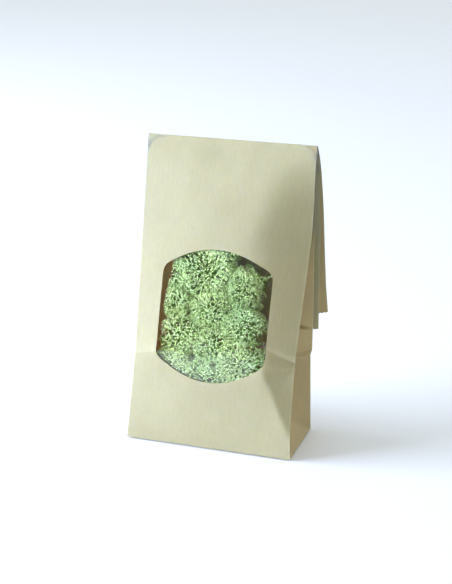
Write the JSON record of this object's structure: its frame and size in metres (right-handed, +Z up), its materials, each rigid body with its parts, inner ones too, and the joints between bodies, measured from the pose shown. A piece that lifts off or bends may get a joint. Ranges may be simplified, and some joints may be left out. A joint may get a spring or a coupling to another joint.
{
  "type": "kraft paper window bag of reindeer lichen",
  "caption": "Free-standing kraft paper gusset bag, its empty top folded behind, with a clear barrel-shaped front window showing loose cushions of pale green reindeer lichen.",
  "frame": {"origin": "middle of the bag's flat base, on the surface that it stands on", "axes": "+Z up, -Y out of the front panel with the window, +X to the right as the window is seen"},
  "size_m": [0.1012, 0.079, 0.1732],
  "materials": {
    "kraft_paper": "smooth unglazed light olive-brown kraft paper with fine fibres",
    "clear_film": "thin clear glossy film, slightly wavy",
    "reindeer_lichen": "dull, finely branched, pale green with whitish tips"
  },
  "bodies": {
    "root": {"paper_bag": "kraft_paper", "window_film": "clear_film", "lichen_cushion_01": "reindeer_lichen", "lichen_cushion_02": "reindeer_lichen", "lichen_cushion_03": "reindeer_lichen", "lichen_cushion_04": "reindeer_lichen", "lichen_cushion_05": "reindeer_lichen", "lichen_cushion_06": "reindeer_lichen", "lichen_cushion_07": "reindeer_lichen", "lichen_cushion_08": "reindeer_lichen", "lichen_cushion_09": "reindeer_lichen", "lichen_cushion_10": "reindeer_lichen", "lichen_cushion_11": "reindeer_lichen", "lichen_cushion_12": "reindeer_lichen", "lichen_cushion_13": "reindeer_lichen", "lichen_cushion_14": "reindeer_lichen", "lichen_cushion_15": "reindeer_lichen", "lichen_cushion_16": "reindeer_lichen", "lichen_cushion_17": "reindeer_lichen", "lichen_cushion_18": "reindeer_lichen", "lichen_cushion_19": "reindeer_lichen", "lichen_cushion_20": "reindeer_lichen", "lichen_cushion_21": "reindeer_lichen", "lichen_cushion_22": "reindeer_lichen"}
  },
  "joints": []
}
